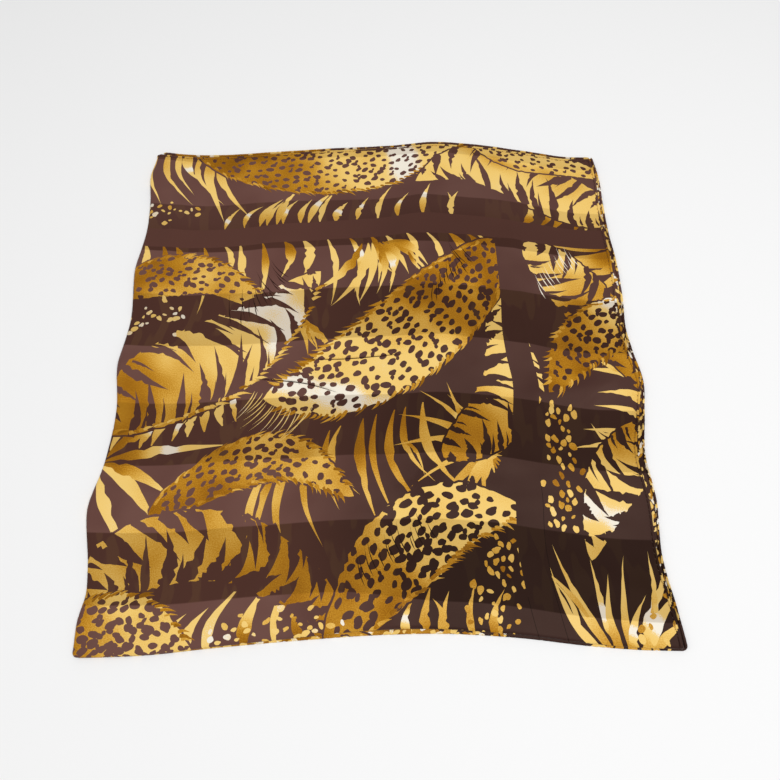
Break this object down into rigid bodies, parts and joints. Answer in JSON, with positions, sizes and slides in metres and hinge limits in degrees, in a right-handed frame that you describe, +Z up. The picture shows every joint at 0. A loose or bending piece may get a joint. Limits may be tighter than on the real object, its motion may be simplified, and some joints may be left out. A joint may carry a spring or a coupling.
{
  "type": "silk square scarf",
  "caption": "Square silk scarf folded in quarters into a flat square packet, with hand-rolled hems and an animal-fur print.",
  "frame": {"origin": "on the surface the scarf lies on, under the centre of the folded packet", "axes": "+X towards the right hemmed side, +Y from the near folded side to the far hemmed side, +Z up through the thickness of the packet"},
  "size_m": [0.4636, 0.4805, 0.0079],
  "materials": {
    "silk_print": "printed silk, soft sheen, woven in satin and sheer bands",
    "silk_hem": "rolled printed silk, slip-stitched"
  },
  "bodies": {
    "root": {"top_layer": "silk_print", "under_layers": "silk_print", "right_hem": "silk_hem", "far_hem": "silk_hem", "right_hem_below": "silk_hem", "far_hem_below": "silk_hem"}
  },
  "joints": []
}
